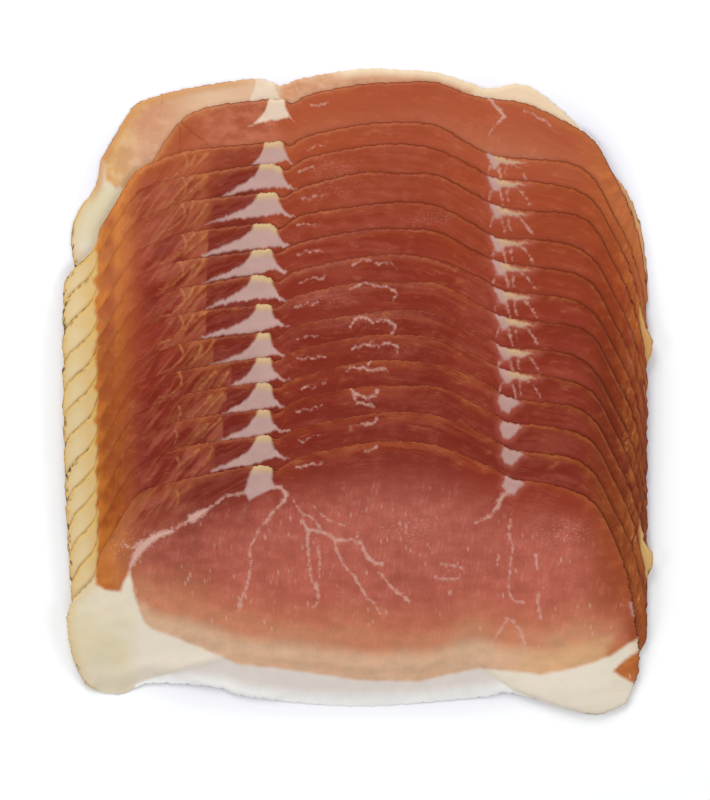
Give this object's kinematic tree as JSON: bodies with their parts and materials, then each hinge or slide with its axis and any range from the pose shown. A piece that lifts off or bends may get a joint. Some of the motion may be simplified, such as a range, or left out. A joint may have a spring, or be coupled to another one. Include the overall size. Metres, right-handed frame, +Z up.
{
  "type": "sliced back bacon",
  "caption": "Shingled fan of thin cured and smoked bacon slices, each with a fat rim, fat seams and a dark rind edge.",
  "frame": {"origin": "middle of the fan's outline, on the plane that it lies on", "axes": "+X to the right across the slices, +Y from the front slice to the hindmost one, +Z up"},
  "size_m": [0.1775, 0.1942, 0.014],
  "materials": {
    "cured_meat": "moist cut face of smoked lean meat, creamy fat and golden-brown rind"
  },
  "bodies": {
    "root": {"slice_01": "cured_meat", "slice_02": "cured_meat", "slice_03": "cured_meat", "slice_04": "cured_meat", "slice_05": "cured_meat", "slice_06": "cured_meat", "slice_07": "cured_meat", "slice_08": "cured_meat", "slice_09": "cured_meat", "slice_10": "cured_meat", "slice_11": "cured_meat", "slice_12": "cured_meat", "slice_13": "cured_meat", "slice_14": "cured_meat", "slice_15": "cured_meat"}
  },
  "joints": []
}
